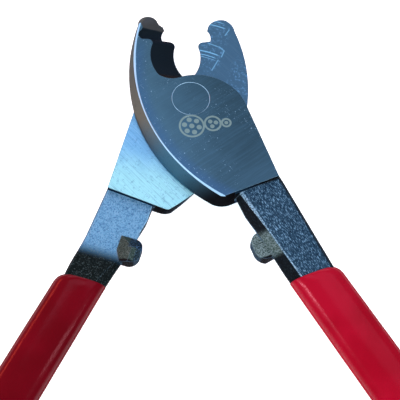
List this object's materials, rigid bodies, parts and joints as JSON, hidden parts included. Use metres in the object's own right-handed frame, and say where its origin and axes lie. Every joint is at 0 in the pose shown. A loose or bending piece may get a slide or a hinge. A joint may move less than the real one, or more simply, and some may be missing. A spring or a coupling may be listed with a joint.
{
  "type": "cable cutter",
  "caption": "Two-handed cable cutter: crossed forged halves on a flush pivot, hooked notched jaws, closing stops on the necks and dipped plastic grips.",
  "frame": {"origin": "on the pivot axis, in the ground front face of the head", "axes": "+Y from the pivot towards the jaws, along the line halfway between the handles; +Z out of the front face; +X to the right seen from the front"},
  "size_m": [0.208, 0.2244, 0.026],
  "materials": {
    "forged_steel": "blued, ground faces over rough black forging",
    "dipped_plastic": "glossy dipped coating",
    "ground_steel": "ground flush",
    "plated_steel": "zinc plated",
    "spring_steel": "dark oiled",
    "nylon": "moulded"
  },
  "bodies": {
    "rear": {"rear_half": "forged_steel", "rear_grip": "dipped_plastic", "thrust_washer": "plated_steel"},
    "front": {"front_half": "forged_steel", "front_grip": "dipped_plastic", "pivot_bolt": "ground_steel", "disc_spring": "spring_steel", "lock_nut": "plated_steel", "locking_ring": "nylon"}
  },
  "joints": [
    {"name": "jaw_pivot", "type": "hinge", "parent": "rear", "child": "front", "pos_m": [0, 0, -0.008], "axis": [0, 0, 1], "range_deg": [-37, 53]}
  ]
}
